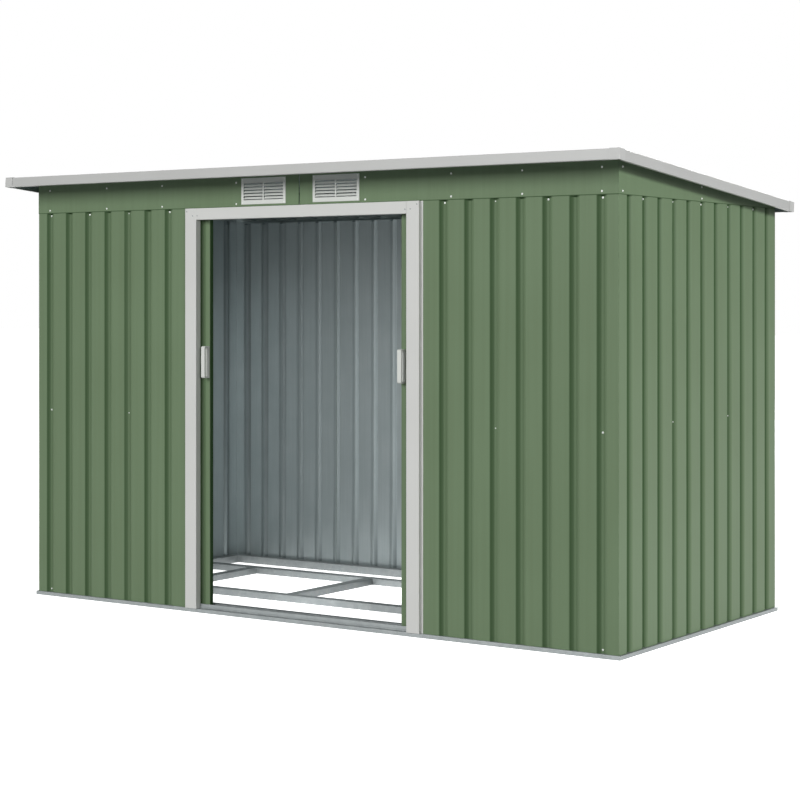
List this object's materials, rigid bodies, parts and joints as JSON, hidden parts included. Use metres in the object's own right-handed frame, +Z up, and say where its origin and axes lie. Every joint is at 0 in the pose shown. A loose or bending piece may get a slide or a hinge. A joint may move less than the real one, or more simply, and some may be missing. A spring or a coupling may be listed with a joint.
{
  "type": "metal storage shed",
  "caption": "Flat-pack metal storage shed of ribbed sheet with a roof that falls to the back, louvred vents over the doorway and sliding doors, shown open.",
  "frame": {"origin": "on the ground, under the middle of the roof", "axes": "+X along the front to the right, +Y from the front to the back, +Z up"},
  "size_m": [2.838, 1.4522, 1.72],
  "materials": {
    "zinc_steel": "galvanised, dull spangle",
    "green_sheet": "satin coil-coated sage green",
    "light_trim": "satin coil-coated light grey",
    "light_plastic": "moulded light grey",
    "dark_plastic": "moulded dark grey"
  },
  "bodies": {
    "shed": {"base_rail_front": "zinc_steel", "base_rail_back": "zinc_steel", "base_rail_left": "zinc_steel", "base_rail_right": "zinc_steel", "floor_bar_middle": "zinc_steel", "floor_bar_rear": "zinc_steel", "floor_cross_bar_1": "zinc_steel", "floor_cross_bar_2": "zinc_steel", "floor_cross_bar_3": "zinc_steel", "floor_cross_bar_4": "zinc_steel", "door_track_top": "zinc_steel", "roof_beam": "zinc_steel", "front_wall_left": "green_sheet", "front_wall_right": "green_sheet", "left_wall": "green_sheet", "right_wall": "green_sheet", "back_wall": "green_sheet", "front_header_left": "green_sheet", "front_header_right": "green_sheet", "right_gable": "green_sheet", "left_gable": "green_sheet", "roof_panels": "green_sheet", "left_jamb": "light_trim", "right_jamb": "light_trim", "lintel": "light_trim", "fascia_front": "light_trim", "fascia_back": "light_trim", "fascia_left": "light_trim", "fascia_right": "light_trim", "vent_left": "light_plastic", "vent_right": "light_plastic", "roof_corner_caps": "light_plastic"},
    "left_door": {"left_door_panel": "green_sheet", "left_door_rails": "zinc_steel", "left_door_glides": "dark_plastic", "left_door_handle": "light_plastic"},
    "right_door": {"right_door_panel": "green_sheet", "right_door_rails": "zinc_steel", "right_door_glides": "dark_plastic", "right_door_handle": "light_plastic"}
  },
  "joints": [
    {"name": "left_door_slide", "type": "slide", "parent": "shed", "child": "left_door", "axis": [1, 0, 0], "range_m": [0, 0.447]},
    {"name": "right_door_slide", "type": "slide", "parent": "shed", "child": "right_door", "axis": [-1, 0, 0], "range_m": [0, 0.447]}
  ]
}
